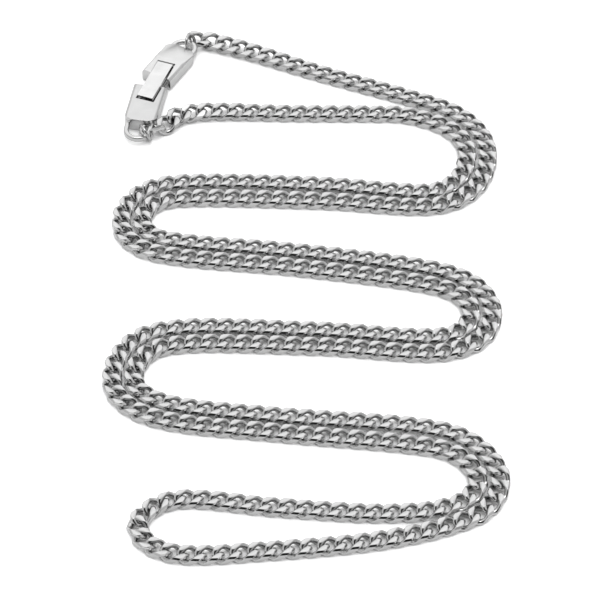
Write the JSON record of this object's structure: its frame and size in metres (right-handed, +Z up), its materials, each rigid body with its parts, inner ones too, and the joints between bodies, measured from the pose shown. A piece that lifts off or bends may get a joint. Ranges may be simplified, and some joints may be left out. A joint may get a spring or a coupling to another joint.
{
  "type": "cuban link chain",
  "caption": "Cuban link neck chain of flat filed curb links, laid doubled in a flat serpentine and fastened by a two part box clasp with a hinged latch lever and end rings.",
  "frame": {"origin": "on the surface that the chain lies on, in the middle of the laid outline", "axes": "+Z up from the surface, +Y along the lay towards the clasp, +X along the rows away from the clasp"},
  "size_m": [0.0517, 0.0958, 0.0026],
  "materials": {
    "polished_links": "polished steel, filed flat on top",
    "polished_clasp": "polished steel with softened edges and fine wear",
    "pin_steel": "drawn steel wire"
  },
  "bodies": {
    "root": {"chain_first_run": "polished_links", "chain_second_run": "polished_links", "upper_end_ring": "polished_links", "lower_end_ring": "polished_links", "upper_housing": "polished_clasp", "lower_housing": "polished_clasp", "lever_pin": "pin_steel"},
    "lever": {"latch_lever": "polished_clasp"}
  },
  "joints": [
    {"name": "lever", "type": "hinge", "parent": "root", "child": "lever", "pos_m": [-0.01942, 0.04092, 0.00174], "axis": [-0.9397, 0.342, 0], "range_deg": [0, 80]}
  ]
}
